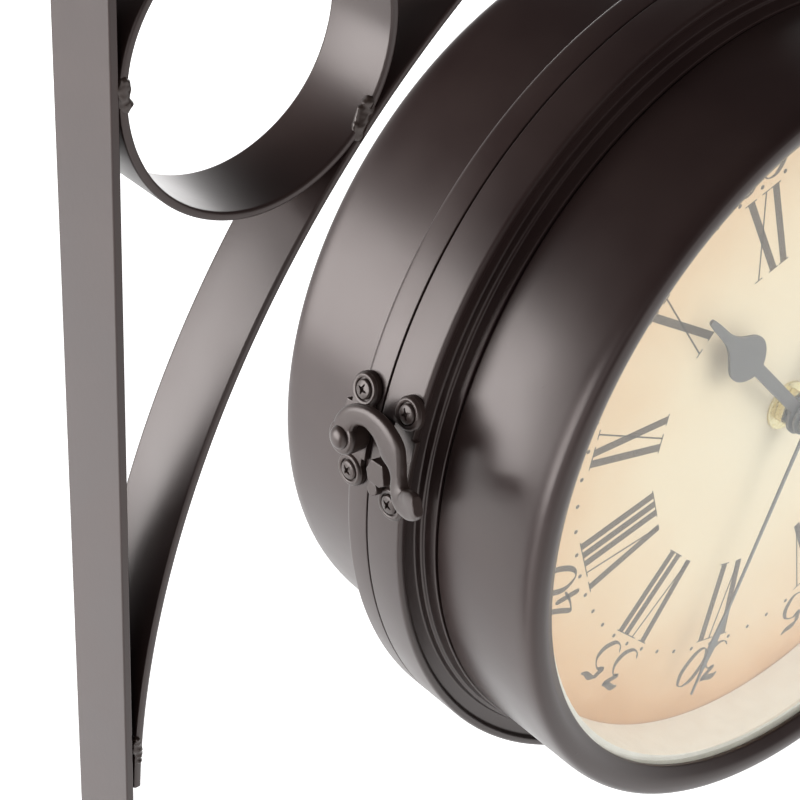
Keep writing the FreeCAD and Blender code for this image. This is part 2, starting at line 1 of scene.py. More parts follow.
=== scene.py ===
# Double sided station clock on a strap-iron wall bracket: its look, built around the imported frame.
# Millimetres in the dictionaries, metres in the scene.
import math
import bmesh
import bpy
import numpy as np
from mathutils import Euler, Matrix, Vector


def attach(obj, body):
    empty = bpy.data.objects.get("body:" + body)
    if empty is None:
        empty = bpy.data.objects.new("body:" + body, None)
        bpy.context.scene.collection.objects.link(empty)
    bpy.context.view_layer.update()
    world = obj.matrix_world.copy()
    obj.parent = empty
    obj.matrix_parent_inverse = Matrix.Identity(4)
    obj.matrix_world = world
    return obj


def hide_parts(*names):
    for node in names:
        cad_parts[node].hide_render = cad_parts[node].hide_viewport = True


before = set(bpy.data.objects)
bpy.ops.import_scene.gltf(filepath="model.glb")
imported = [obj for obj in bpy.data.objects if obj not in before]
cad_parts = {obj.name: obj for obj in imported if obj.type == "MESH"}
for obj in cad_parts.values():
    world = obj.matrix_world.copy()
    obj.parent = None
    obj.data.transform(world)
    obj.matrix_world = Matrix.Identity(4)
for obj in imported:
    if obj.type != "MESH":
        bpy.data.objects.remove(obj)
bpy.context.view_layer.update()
scene = bpy.context.scene
scene.view_settings.view_transform = "Standard"
mm = 0.001

# the clock's own frame: across to the right, depth out of the split towards the viewer, up
clock = {"centre": (194.0, 0.0, -36.0), "caseTurn": 9.2, "dialTurn": 11.5}
halves = {"front": {"band": 12.3, "cup": 108.8, "rear": False, "body": "door"},
          "back": {"band": 7.7, "cup": 107.6, "rear": True, "body": "bracket"}}


# geometry helpers
def toScene(points, turn, rear=False):
    # own frame to row frame: the rear side is turned half round about the upright, then
    # everything turns about the clock's axis and moves to the clock's centre
    x, y, z = points[..., 0], -points[..., 1], points[..., 2]
    if rear:
        x, y = -x, -y
    a = math.radians(turn)
    turned = np.stack([x * math.cos(a) + z * math.sin(a), y, z * math.cos(a) - x * math.sin(a)], -1)
    return (turned + np.array(clock["centre"])) * mm


def gridFaces(rows, cols, wrapRows=False, wrapCols=False):
    # the quads of a rows x cols grid of points, joined end to start where it wraps
    r, c = np.meshgrid(np.arange(rows if wrapRows else rows - 1),
                       np.arange(cols if wrapCols else cols - 1), indexing="ij")
    nextR, nextC = (r + 1) % rows, (c + 1) % cols
    return np.stack([r * cols + c, r * cols + nextC, nextR * cols + nextC, nextR * cols + c], -1).reshape(-1, 4)


def roundedLoop(corners, steps=5):
    # corners: x, y, rounding. Each corner gives way to a quadratic curve that starts and ends its
    # rounding away along the two sides
    corners = np.array(corners, float)
    p, cut = corners[:, :2], corners[:, 2:3]
    before, after = np.roll(p, 1, 0) - p, np.roll(p, -1, 0) - p
    lenBefore = np.linalg.norm(before, axis=1, keepdims=True)
    lenAfter = np.linalg.norm(after, axis=1, keepdims=True)
    a = p + before / lenBefore * np.minimum(cut, 0.48 * lenBefore)
    b = p + after / lenAfter * np.minimum(cut, 0.48 * lenAfter)
    t = np.linspace(0, 1, steps)[None, :, None]
    curve = (1 - t) ** 2 * a[:, None] + 2 * t * (1 - t) * p[:, None] + t ** 2 * b[:, None]
    return curve.reshape(-1, 2)


def smoothPath(points, steps=8):
    # Catmull-Rom curve through the points
    points = np.array(points, float)
    p = np.vstack([2 * points[0] - points[1], points, 2 * points[-1] - points[-2]])
    t = np.linspace(0, 1, steps, endpoint=False)[None, :, None]
    a, b, c, d = p[:-3, None], p[1:-2, None], p[2:-1, None], p[3:, None]
    curve = 0.5 * (2 * b + (c - a) * t + (2 * a - 5 * b + 4 * c - d) * t ** 2
                   + (3 * b - a - 3 * c + d) * t ** 3)
    return np.vstack([curve.reshape(-1, points.shape[1]), points[-1:]])


def turnedForm(profile, around=256):
    # profile of (radius, depth) pairs carried once round the clock's axis
    profile = np.array(profile, float)
    a = np.linspace(0, 2 * math.pi, around, endpoint=False)[:, None]
    radius, depth = profile[None, :, 0], profile[None, :, 1]
    points = np.stack([radius * np.sin(a), depth + 0 * a, radius * np.cos(a)], -1)
    return points.reshape(-1, 3), gridFaces(around, len(profile), True, True)


def makePiece(name, forms, material, body, replaces=(), sharp=35.0):
    # forms: (points in metres, faces) pairs, put into one mesh with its doubles merged
    points = np.vstack([form[0] for form in forms])
    faces = []
    start = 0
    for formPoints, formFaces in forms:
        faces += [[k + start for k in face] for face in np.array(formFaces, dtype=object).tolist()]
        start += len(formPoints)
    mesh = bpy.data.meshes.new(name)
    mesh.from_pydata(points.tolist(), [], faces)
    work = bmesh.new()
    work.from_mesh(mesh)
    bmesh.ops.remove_doubles(work, verts=work.verts, dist=2e-6)
    bmesh.ops.recalc_face_normals(work, faces=work.faces)
    work.to_mesh(mesh)
    work.free()
    mesh.shade_smooth()
    mesh.set_sharp_from_angle(angle=math.radians(sharp))
    mesh.materials.append(material)
    piece = bpy.data.objects.new(name, mesh)
    scene.collection.objects.link(piece)
    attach(piece, body)
    if replaces:
        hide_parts(*replaces)
    return piece


def copiedNode(name, node, material, body):
    # the frame's loose triangles as one welded mesh in a piece of its own, flat faces whole again
    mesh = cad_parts[node].data.copy()
    mesh.name = name
    mesh.materials.clear()
    mesh.materials.append(material)
    work = bmesh.new()
    work.from_mesh(mesh)
    bmesh.ops.remove_doubles(work, verts=work.verts, dist=2e-6)
    bmesh.ops.dissolve_limit(work, angle_limit=math.radians(0.5), verts=work.verts, edges=work.edges)
    work.to_mesh(mesh)
    work.free()
    mesh.shade_smooth()
    mesh.set_sharp_from_angle(angle=math.radians(30))
    piece = bpy.data.objects.new(name, mesh)
    scene.collection.objects.link(piece)
    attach(piece, body)
    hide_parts(node)
    return piece


def easeEdges(piece, widthMm):
    # every sharp edge rounded over, as tumbling, filing and paint leave it
    bevel = piece.modifiers.new("easedEdges", "BEVEL")
    bevel.width = widthMm * mm
    bevel.segments = 3
    bevel.limit_method = "ANGLE"
    bevel.angle_limit = math.radians(32)
    bevel.harden_normals = True


def castSkin(piece, grainMm, passes):
    # forms that cross melt into one closed skin, and its corners are worn round
    skin = piece.modifiers.new("castSkin", "REMESH")
    skin.mode = "VOXEL"
    skin.voxel_size = grainMm * mm
    skin.use_smooth_shade = True
    worn = piece.modifiers.new("wornRound", "SMOOTH")
    worn.factor = 0.5
    worn.iterations = passes


# materials
def linear(hexColour):
    # sRGB hex to linear red, green, blue and alpha
    c = np.array([int(hexColour[k:k + 2], 16) for k in (1, 3, 5)]) / 255
    c = np.where(c <= 0.04045, c / 12.92, ((c + 0.055) / 1.055) ** 2.4)
    return (float(c[0]), float(c[1]), float(c[2]), 1.0)


def addNode(tree, kind, settings=None, links=None):
    # a node with its properties or socket values set, and its inputs linked from other sockets
    node = tree.nodes.new(kind)
    for key, value in (settings or {}).items():
        if isinstance(key, str) and hasattr(node, key):
            setattr(node, key, value)
        else:
            node.inputs[key].default_value = value
    for key, source in (links or {}).items():
        tree.links.new(source, node.inputs[key])
    return node


def newMaterial(name):
    material = bpy.data.materials.new(name)
    material.use_nodes = True
    tree = material.node_tree
    tree.nodes.clear()
    output = addNode(tree, "ShaderNodeOutputMaterial")
    return material, tree, output


def colourRamp(tree, source, stops, interpolation="LINEAR"):
    ramp = addNode(tree, "ShaderNodeValToRGB", links={"Fac": source})
    ramp.color_ramp.interpolation = interpolation
    while len(ramp.color_ramp.elements) < len(stops):
        ramp.color_ramp.elements.new(0.5)
    for element, (place, colour) in zip(ramp.color_ramp.elements, stops):
        element.position = place
        element.color = linear(colour)
    return ramp.outputs["Color"]


def powderCoat(name, dark, light, rough, grainMm, bumpMm):
    # Satin polyester powder coat, sprayed and baked: a soft sheen with fine orange peel, slight
    # cloudiness in the gloss, and a few specks where dust baked in
    material, tree, output = newMaterial(name)
    place = addNode(tree, "ShaderNodeTexCoord").outputs["Object"]
    cloud = addNode(tree, "ShaderNodeTexNoise", {"Scale": 1 / (28 * mm), "Detail": 3.0, "Roughness": 0.5},
                    {"Vector": place})
    peel = addNode(tree, "ShaderNodeTexNoise", {"Scale": 1 / (grainMm * mm), "Detail": 2.0, "Roughness": 0.45},
                   {"Vector": place})
    speck = addNode(tree, "ShaderNodeTexVoronoi", {"Scale": 1 / (17 * mm)}, {"Vector": place})
    dust = addNode(tree, "ShaderNodeMapRange",
                   {"From Min": 0.022, "From Max": 0.014, "To Min": 0.0, "To Max": 1.0},
                   {"Value": speck.outputs["Distance"]})
    colour = colourRamp(tree, cloud.outputs["Fac"], [(0.35, dark), (0.65, light)])
    gloss = addNode(tree, "ShaderNodeMapRange", {"From Min": 0.3, "From Max": 0.7, "To Min": rough - 0.03,
                                                 "To Max": rough + 0.04}, {"Value": cloud.outputs["Fac"]})
    height = addNode(tree, "ShaderNodeMath", {"operation": "MULTIPLY_ADD", 1: 2.5},
                     {0: dust.outputs["Result"], 2: peel.outputs["Fac"]})
    bump = addNode(tree, "ShaderNodeBump", {"Strength": 1.0, "Distance": bumpMm * mm},
                   {"Height": height.outputs["Value"]})
    shader = addNode(tree, "ShaderNodeBsdfPrincipled", {"IOR": 1.6, "Specular Tint": linear("#fff4f1")},
                     {"Base Color": colour, "Roughness": gloss.outputs["Result"], "Normal": bump.outputs["Normal"]})
    tree.links.new(shader.outputs["BSDF"], output.inputs["Surface"])
    return material


casePaint = powderCoat("powderCoatedSheetSteel", "#302322", "#362927", 0.31, 1.1, 0.006)
ironPaint = powderCoat("powderCoatedStrapIron", "#2f2322", "#362927", 0.31, 1.4, 0.010)
fittingPaint = powderCoat("powderCoatedLatchSteel", "#362b28", "#403431", 0.31, 0.8, 0.008)
weldPaint = powderCoat("powderCoatedWeldMetal", "#2f2420", "#3a2f2b", 0.27, 0.9, 0.03)


def clearGlass():
    # Float glass pane, flat and polished: clear, with a faint reflection; light gets in through it
    material, tree, output = newMaterial("floatGlassPane")
    shader = addNode(tree, "ShaderNodeBsdfPrincipled", {"Base Color": linear("#fbfefc"), "Roughness": 0.0,
                                                        "IOR": 1.5, "Transmission Weight": 1.0})
    clear = addNode(tree, "ShaderNodeBsdfTransparent")
    path = addNode(tree, "ShaderNodeLightPath")
    mix = addNode(tree, "ShaderNodeMixShader", links={0: path.outputs["Is Shadow Ray"],
                                                      1: shader.outputs["BSDF"], 2: clear.outputs["BSDF"]})
    tree.links.new(mix.outputs["Shader"], output.inputs["Surface"])
    return material


def dialCard():
    # Offset-printed card with an aged tint: cream in the middle, peach and then tan at the edge,
    # with soft blotches and a faint paper tooth
    material, tree, output = newMaterial("printedDialCard")
    place = addNode(tree, "ShaderNodeTexCoord").outputs["Object"]
    centred = addNode(tree, "ShaderNodeVectorMath", {"operation": "MULTIPLY_ADD", 1: (1, 0, 1),
                      2: (-clock["centre"][0] * mm, 0, -clock["centre"][2] * mm)}, {0: place})
    reach = addNode(tree, "ShaderNodeVectorMath", {"operation": "LENGTH"}, {0: centred.outputs["Vector"]})
    blotch = addNode(tree, "ShaderNodeTexNoise", {"Scale": 1 / (34 * mm), "Detail": 4.0, "Roughness": 0.55},
                     {"Vector": place})
    tooth = addNode(tree, "ShaderNodeTexNoise", {"Scale": 1 / (0.5 * mm), "Detail": 2.0}, {"Vector": place})
    spread = addNode(tree, "ShaderNodeMapRange",
                     {"From Min": 0.0, "From Max": 100 * mm, "To Min": 0.0, "To Max": 1.0},
                     {"Value": reach.outputs["Value"]})
    uneven = addNode(tree, "ShaderNodeMath", {"operation": "MULTIPLY_ADD", 1: 0.36},
                     {0: blotch.outputs["Fac"], 2: spread.outputs["Result"]})
    shifted = addNode(tree, "ShaderNodeMath", {"operation": "SUBTRACT", 1: 0.18}, {0: uneven.outputs["Value"]})
    colour = colourRamp(tree, shifted.outputs["Value"], [
        (0.0, "#f5e7cd"), (0.45, "#f4e0c1"), (0.66, "#efd3b0"), (0.80, "#e8c49c"), (0.92, "#dcb083"),
        (1.0, "#cb9a66")])
    bump = addNode(tree, "ShaderNodeBump", {"Strength": 1.0, "Distance": 0.012 * mm},
                   {"Height": tooth.outputs["Fac"]})
    shader = addNode(tree, "ShaderNodeBsdfPrincipled", {"Roughness": 0.6, "IOR": 1.45},
                     {"Base Color": colour, "Normal": bump.outputs["Normal"]})
    tree.links.new(shader.outputs["BSDF"], output.inputs["Surface"])
    return material


def simpleFinish(name, dark, light, rough, scaleMm, bumpMm, metallic=0.0):
    # one finish with the mottling, gloss change and fine relief that its process leaves
    material, tree, output = newMaterial(name)
    place = addNode(tree, "ShaderNodeTexCoord").outputs["Object"]
    grain = addNode(tree, "ShaderNodeTexNoise", {"Scale": 1 / (scaleMm * mm), "Detail": 3.0, "Roughness": 0.55},
                    {"Vector": place})
    colour = colourRamp(tree, grain.outputs["Fac"], [(0.35, dark), (0.65, light)])
    gloss = addNode(tree, "ShaderNodeMapRange", {"From Min": 0.3, "From Max": 0.7, "To Min": rough - 0.06,
                                                 "To Max": rough + 0.06}, {"Value": grain.outputs["Fac"]})
    bump = addNode(tree, "ShaderNodeBump", {"Strength": 1.0, "Distance": bumpMm * mm},
                   {"Height": grain.outputs["Fac"]})
    shader = addNode(tree, "ShaderNodeBsdfPrincipled", {"Metallic": metallic, "IOR": 1.5},
                     {"Base Color": colour, "Roughness": gloss.outputs["Result"], "Normal": bump.outputs["Normal"]})
    tree.links.new(shader.outputs["BSDF"], output.inputs["Surface"])
    return material


# offset printing ink: matt warm brown, a little worn through
printInk = simpleFinish("printedInk", "#5a4c3f", "#685848", 0.55, 1.8, 0.002)
# stamped steel hands with a satin grey lacquer
handPaint = simpleFinish("lacquerOnStampedSteel", "#5a5657", "#625e5f", 0.40, 2.0, 0.003)
# turned yellow brass, lightly lacquered
brass = simpleFinish("turnedBrass", "#dccb96", "#e8dbb0", 0.30, 0.8, 0.003, metallic=1.0)
# vacuum-formed styrene wall, painted off-white
reflectorWhite = simpleFinish("paintedStyreneWall", "#e9e2d6", "#f0eadf", 0.5, 6.0, 0.01)
# moulded black ABS of the movement, with a fine spark-eroded texture
movementPlastic = simpleFinish("mouldedAbs", "#1c1c1d", "#242425", 0.45, 0.5, 0.02)
# plastic sleeve of a plain battery, no print
batterySleeve = simpleFinish("shrinkSleeve", "#3a3f46", "#444a52", 0.3, 4.0, 0.003)
windowGlass = clearGlass()
dialPaper = dialCard()
print("materials ready")


# case: band and deep round rim of each half
case = {
    "flangeRadius": 117.0, "splitGap": 0.25, "sheet": 1.2, "bandEdge": 1.3,
    "shoulder": 109.2, "shoulderRise": 4.0, "cupHeight": 38.2, "rimRounding": 6.2, "opening": 100.1,
    "lipDrop": 2.5, "segments": 320,
}


def bandProfile(band):
    # section of one band from the split line to the shoulder, with the groove beside the cup
    r, w = case["flangeRadius"], case["sheet"]
    s = case["shoulder"]
    return roundedLoop([
        (r, case["splitGap"], 0.25), (r, band, case["bandEdge"]), (r - 2.0, band, 0.5), (r - 2.5, band - 1.5, 0.5),
        (s + 1.7, band - 1.5, 0.5), (s + 1.3, band + 0.4, 0.4), (s + 0.4, band + 0.5, 0.3),
        (s, band + case["shoulderRise"], 0.3),
        (s - w, band + case["shoulderRise"], 0.3), (s - w, band - 0.8, 0.4),
        (r - 5.0, band - 2.3, 0.8), (r - w, band - 2.3, 1.0), (r - w, case["splitGap"], 0.2)], 6)


def rimProfile(band, cup):
    # section of one deep round rim, from its foot in the band, up the cup and in to the glass
    top = band + case["cupHeight"]
    w = case["sheet"]
    tail = case["shoulder"] - w - 0.3
    neck = band + case["shoulderRise"]
    low = case["opening"]
    return roundedLoop([
        (tail, band + 1.0, 0.2), (tail, neck + 0.4, 0.3), (cup, neck + 0.5, 0.5),
        (cup, top - 3.2, 3.0), (cup - 0.9, top - 0.6, 1.5), (cup - 3.4, top, 2.0), (low + 3.3, top - 0.35, 1.2),
        (low, top - case["lipDrop"], 0.4), (low, top - case["lipDrop"] - w, 0.3),
        (cup - 4.7, top - w - 0.1, 1.5), (cup - w, top - 4.4, 2.5), (cup - w, neck + 4.5, 0.5),
        (tail - w, neck + 0.6, 0.5), (tail - w, band + 1.0, 0.2)], 7)


for side, half in halves.items():
    for part, profile in (("flange", bandProfile(half["band"])), ("bezel", rimProfile(half["band"], half["cup"]))):
        points, faces = turnedForm(profile, case["segments"])
        points = toScene(points, clock["caseTurn"], half["rear"])
        makePiece(side + "_" + part + "_smooth", [(points, faces)], casePaint, half["body"],
                  (side + "_" + part,), 50)
print("case ready")


# bracket: ring and brace of bent strap, bar and arm of straight strap
strap = {
    "thick": 2.0, "width": 20.0, "edge": 0.75,
    "ring": {"across": 36.0, "up": 95.1, "radius": 33.0},
    "brace": {"across": 243.0, "up": -85.9, "radius": 240.0, "foot": -78.6, "head": 129.1},
}


def strapSection():
    # strap across its bend: thickness, width, with the rolled edges of flat iron
    t, w, e = strap["thick"] / 2 - 0.01, strap["width"] / 2 - 0.01, strap["edge"]
    return roundedLoop([(-t, -w, e), (t, -w, e), (t, w, e), (-t, w, e)], 6)


def ringForm(rows=240):
    # radius + thickness turned once about the ring's axis, with the slight waver of hand bending
    ring, section = strap["ring"], strapSection()
    a = np.linspace(0, 2 * math.pi, rows, endpoint=False)[:, None]
    radius = ring["radius"] + section[None, :, 0] + 0.05 * np.sin(3 * a + 1) + 0.04 * np.sin(7 * a)
    points = np.stack([ring["across"] + radius * np.cos(a), section[None, :, 1] + 0 * a,
                       ring["up"] + radius * np.sin(a)], -1)
    return points.reshape(-1, 3) * mm, gridFaces(rows, len(section), True, True)


def braceForm(rows=200):
    # the left side of a large circle, worked out from the height so that both ends are cut level
    brace, section = strap["brace"], strapSection()
    up = np.linspace(brace["foot"], brace["head"], rows)[:, None]
    radius = brace["radius"] + section[None, :, 0]
    across = brace["across"] - np.sqrt(radius ** 2 - (up - brace["up"]) ** 2)
    points = np.stack([across, section[None, :, 1] + 0 * up, up + 0 * radius], -1)
    last = (rows - 1) * len(section)
    ends = [list(range(len(section))), list(range(last, last + len(section)))]
    return points.reshape(-1, 3) * mm, gridFaces(rows, len(section), False, True).tolist() + ends


makePiece("ring_strap", [ringForm()], ironPaint, "bracket", ("ring",), 50)
makePiece("brace_strap", [braceForm()], ironPaint, "bracket", ("brace",), 50)
for node, name, ease in (("wall_bar", "wall_bar_strap", 0.55), ("arm", "arm_strap", 0.55),
                         ("hanger", "hanger_saddle", 0.6), ("hanger_nut", "hanger_hex_nut", 0.5)):
    easeEdges(copiedNode(name, node, ironPaint, "bracket"), ease)

bead = {
    # seam's radius, where the lumps lie out from the strap's middle, how many, how thick along the seam,
    # how large the rear ones are beside the front ones; the skin's grain and how often it is smoothed
    "seam": 1.25, "edge": 9.3, "lumps": 5, "flat": 1.45, "rearShare": 0.65, "skin": 0.3, "smoothing": 7,
    # weld metal is ground off at the wall, at the strap's edges and on top of the arm
    "least": (0.4, -10.75, -200), "most": (300, 10.75, 128.9),
}
welds = {
    # name: seam across and up, lumps across and up, how far they lie along it, their size, its direction
    "ringToBar": (2.6, 95.1, 3.4, 96.2, 3.2, 1.8, 90.0),
    "ringToBrace": (61.9, 72.9, 62.0, 75.2, 3.6, 2.5, 66.0),
    "ringToArm": (36.0, 128.0, 36.0, 127.6, 2.8, 1.4, 0.0),
    "braceToArm": (135.2, 128.0, 135.2, 127.8, 2.6, 1.3, 0.0),
    "armToBar": (3.2, 128.0, 3.4, 127.6, 1.6, 1.5, 90.0),
    "footToBar": (3.2, -67.6, 3.5, -67.6, 3.4, 1.5, 90.0),
}


def lumpForm(middle, sizes, seed, rows=14, cols=22):
    # a ball whose radius swells and dips by a few waves round it and along it
    u = np.linspace(-math.pi / 2, math.pi / 2, rows)[:, None]
    v = np.linspace(0, 2 * math.pi, cols, endpoint=False)[None, :]
    swell = 1 + 0.14 * np.sin(3 * v + seed) * np.cos(2 * u) + 0.10 * np.sin(5 * v - 2 * seed) * np.cos(u) ** 2
    points = np.stack([np.cos(u) * np.cos(v) * swell * sizes[0], np.sin(u) * swell * sizes[1],
                       np.cos(u) * np.sin(v) * swell * sizes[2]], -1) + np.array(middle)
    return points.reshape(-1, 3), gridFaces(rows, cols, False, True)


def seamForm(across, up, radius, rows=60, cols=14):
    # a rod through the crevice, rippled where each drop of metal froze on the last
    along = np.linspace(-9.6, 9.6, rows)[:, None]
    a = np.linspace(0, 2 * math.pi, cols, endpoint=False)[None, :]
    r = radius * (1 + 0.10 * np.sin(along * 2 * math.pi / 2.1 + 0.6 * np.sin(a)))
    points = np.stack([across + r * np.cos(a), along + 0 * a, up + r * np.sin(a)], -1)
    last = (rows - 1) * cols
    return (points.reshape(-1, 3),
            gridFaces(rows, cols, False, True).tolist() + [list(range(cols)), list(range(last, last + cols))])


weldForms = []
for k, (seamAcross, seamUp, across, up, spread, size, heading) in enumerate(welds.values()):
    chance = np.random.default_rng(40 + k)
    weldForms.append(seamForm(seamAcross, seamUp, bead["seam"]))
    run = np.array([math.cos(math.radians(heading)), 0, math.sin(math.radians(heading))])
    for edge, (x, z, share) in ((-1, (across, up, 1.0)), (1, (seamAcross, seamUp, bead["rearShare"]))):
        for place in np.linspace(-1, 1, bead["lumps"]):
            scatter = chance.uniform(-0.35, 0.35, 3)
            middle = np.array([x, edge * bead["edge"], z]) + run * place * spread * share + scatter
            grow = size * share * (1 - 0.35 * place ** 2) * chance.uniform(0.75, 1.1)
            flat = bead["flat"] * chance.uniform(0.8, 1.0)
            weldForms.append(lumpForm(middle, (grow, flat, grow), k + 9 * place))
weldForms = [(np.clip(points, bead["least"], bead["most"]) * mm, faces) for points, faces in weldForms]
weldPiece = makePiece("weld_runs", weldForms, weldPaint, "bracket", ("weld_beads",), 60)
castSkin(weldPiece, bead["skin"], bead["smoothing"])
print("bracket ready")


# latch and hinge fittings, cast and pressed, screwed on through their ears
fitting = {
    "face": 118.6, "screws": {"radius": 2.55, "rise": 1.15, "arm": 0.42, "reach": 1.55, "deep": 0.75},
    "ear": {"hole": 2.8, "outer": 4.3, "rise": 0.75},
    "rivet": {"depth": 4.2, "radius": 2.9, "rise": 1.7, "boss": 4.5, "under": 122.1, "top": 124.7},
}


def onBand(radial, depth, up, tilt=0.0, side=-1):
    # fittings' own frame: out from the band, depth as the frame's y, up along the band; side -1 is
    # the latch, 1 the hinge, and tilt turns the lot round the clock's axis
    a = math.radians(tilt) * side
    x, z = side * radial, up
    return toScene(np.stack([x * math.cos(a) - z * math.sin(a), -depth, z * math.cos(a) + x * math.sin(a)], -1),
                   clock["caseTurn"])


def discForm(profile, depth, tilt=0.0, side=-1, around=48, recess=None):
    # profile of (radius, height out from the band) pairs turned about an axis that stands on the band;
    # recess(x, y) sinks the surface where a tool fits
    profile = np.array(profile, float)
    a = np.linspace(0, 2 * math.pi, around, endpoint=False)[:, None]
    x, y = profile[None, :, 0] * np.cos(a), profile[None, :, 0] * np.sin(a)
    height = profile[None, :, 1] + 0 * a
    if recess:
        height = height - recess(x, y) * (profile[None, :, 1] > profile[:, 1].max() - 0.9)
    points = onBand(height, depth + x, y, tilt, side)
    return points.reshape(-1, 3), gridFaces(around, len(profile), True, False)


def crossRecess(turn):
    # cross-shaped dip: the larger of two crossed ridges, with sloping walls and pointed ends
    c, s = math.cos(math.radians(turn)), math.sin(math.radians(turn))
    size = fitting["screws"]

    def ridge(p, q):
        wall = np.clip((size["arm"] * (1.25 - np.abs(p) / size["reach"]) - np.abs(q)) / 0.16, 0, 1)
        return wall * np.clip((size["reach"] - np.abs(p)) / 0.3, 0, 1)

    def dip(x, y):
        u, v = x * c + y * s, y * c - x * s
        return size["deep"] * np.maximum(ridge(u, v), ridge(v, u))
    return dip


def screwForm(depth, tilt, turn, side=-1):
    # pan head: low dome with a rounded rim, then the shank under it
    size, face = fitting["screws"], fitting["face"]
    t = np.linspace(0, 1, 26)
    dome = [(size["radius"] * 0.86 * k, face + size["rise"] - 0.28 * k * k) for k in t]
    rim = [(size["radius"] * 0.95, face + size["rise"] * 0.55), (size["radius"], face + size["rise"] * 0.3),
           (size["radius"] * 0.985, face + 0.02), (1.4, face + 0.02), (1.4, face - 4.5), (0.0, face - 4.6)]
    return discForm(dome + rim, depth, tilt, side, 96, crossRecess(turn))


def earRing(depth, tilt, side=-1):
    # raised rim round a screw's seat
    ear, face = fitting["ear"], fitting["face"]
    loop = roundedLoop([(ear["hole"], face - 0.5, 0.05), (ear["hole"], face + ear["rise"] * 0.7, 0.3),
                        (ear["outer"] - 0.5, face + ear["rise"], 0.7), (ear["outer"], face - 0.2, 0.4),
                        (ear["outer"] - 0.2, face - 0.8, 0.05)], 6)
    points, faces = discForm(np.vstack([loop, loop[:1]]), depth, tilt, side, 64)
    return points, faces


def earTilt(spread):
    return math.degrees(math.asin(spread / fitting["face"]))


screwSets = {
    # node: depth, spread, side, body, turn of each cross
    "latch_screws": (5.4, 11.0, -1, "bracket", (12.0, 33.0)),
    "strike_screws": (-9.9, 12.2, -1, "door", (57.0, 20.0)),
    "hinge_back_screws": (5.8, 8.0, 1, "bracket", (5.0, 48.0)),
    "hinge_front_screws": (-6.6, 8.0, 1, "door", (70.0, 31.0)),
}
for node, (depth, spread, side, body, turns) in screwSets.items():
    forms = [screwForm(depth, end * earTilt(spread), turn, side) for end, turn in zip((1, -1), turns)]
    makePiece(node + "_cross_head", forms, fittingPaint, body, (node,), 40)

for name, node, depth, spread, body in (("latch_plate_ears", "latch_plate", 5.4, 11.0, "bracket"),
                                        ("strike_plate_ears", "strike_plate", -9.9, 12.2, "door")):
    castSkin(copiedNode(node + "_cast", node, fittingPaint, body), 0.16, 5)
    rings = [earRing(depth, end * earTilt(spread)) for end in (1, -1)]
    makePiece(name, rings, fittingPaint, body, (), 40)

rivet = fitting["rivet"]
t = np.linspace(0, math.pi / 2, 14)
dome = [(rivet["radius"] * math.sin(k), rivet["top"] + 0.15 + (rivet["rise"] - 0.15) * math.cos(k)) for k in t]
rivetProfile = dome + [(rivet["radius"] * 0.97, rivet["top"] + 0.02), (1.85, rivet["top"] + 0.02),
                       (1.85, 117.1), (0, 117.1)]
points, faces = discForm(rivetProfile, rivet["depth"], 0, -1, 64)
makePiece("latch_rivet_domed", [(points, faces)], fittingPaint, "bracket", ("latch_rivet",), 40)

hook = {
    # middle line of the hook's arm: depth, up, out from the band, half its width, half its thickness
    "line": [(4.4, 0.4, 123.5, 3.4, 1.35), (4.2, 3.6, 123.5, 3.1, 1.40), (1.9, 7.0, 123.5, 2.7, 1.45),
             (-2.4, 8.8, 123.5, 2.6, 1.45), (-6.8, 8.5, 123.5, 3.1, 1.45), (-10.4, 6.9, 123.5, 3.7, 1.45),
             (-12.9, 4.8, 123.5, 3.9, 1.45), (-15.0, 2.4, 123.5, 2.6, 1.45), (-16.2, 0.0, 123.5, 2.0, 1.45),
             (-17.3, -2.6, 123.6, 2.6, 1.50), (-19.4, -4.2, 124.0, 3.2, 1.60), (-22.2, -3.8, 124.7, 3.6, 1.60),
             (-24.8, -2.4, 125.6, 3.4, 1.50), (-26.6, -1.4, 126.4, 2.4, 1.2)],
    # 1 is an ellipse in section and 0 a box; then the skin's grain
    "squareness": 0.62, "skin": 0.2,
}


def hookArm():
    # an oval section carried along the middle line, wide in the plate's plane and thin out from it
    line = smoothPath(hook["line"], 7)
    path = line[:, :3]
    run = np.gradient(path, axis=0)
    run = run / np.linalg.norm(run, axis=1, keepdims=True)
    out = np.array([0.0, 0.0, 1.0]) - run * run[:, 2:3]
    out = out / np.linalg.norm(out, axis=1, keepdims=True)
    wide = np.cross(run, out)
    a = np.linspace(0, 2 * math.pi, 28, endpoint=False)[None, :, None]
    across, over = (np.sign(v) * np.abs(v) ** hook["squareness"] for v in (np.cos(a), np.sin(a)))
    points = (path[:, None] + wide[:, None] * across * line[:, None, 3:4]
              + out[:, None] * over * line[:, None, 4:5])
    last = (len(line) - 1) * 28
    faces = gridFaces(len(line), 28, False, True).tolist() + [list(range(28)), list(range(last, last + 28))]
    return onBand(points[..., 2], points[..., 0], points[..., 1]).reshape(-1, 3), faces


bossProfile = roundedLoop([(1.95, 118.75, 0.1), (rivet["boss"] - 0.3, 118.75, 0.4),
                           (rivet["boss"], rivet["under"], 0.3), (rivet["boss"], rivet["top"], 1.3),
                           (1.95, rivet["top"] + 0.05, 0.2)], 6)
points, faces = discForm(np.vstack([bossProfile, bossProfile[:1]]), rivet["depth"], 0, -1, 64)
hookPiece = makePiece("latch_hook_cast", [(points, faces), hookArm()], fittingPaint, "latch",
                      ("latch_hook",), 60)
castSkin(hookPiece, hook["skin"], 3)

for node, name, body in (("hinge_back_leaf", "hinge_back_leaf_pressed", "bracket"),
                         ("hinge_front_leaf", "hinge_front_leaf_pressed", "door"),
                         ("hinge_pin", "hinge_pin_turned", "bracket")):
    easeEdges(copiedNode(name, node, fittingPaint, body), 0.3)
print("fittings ready")


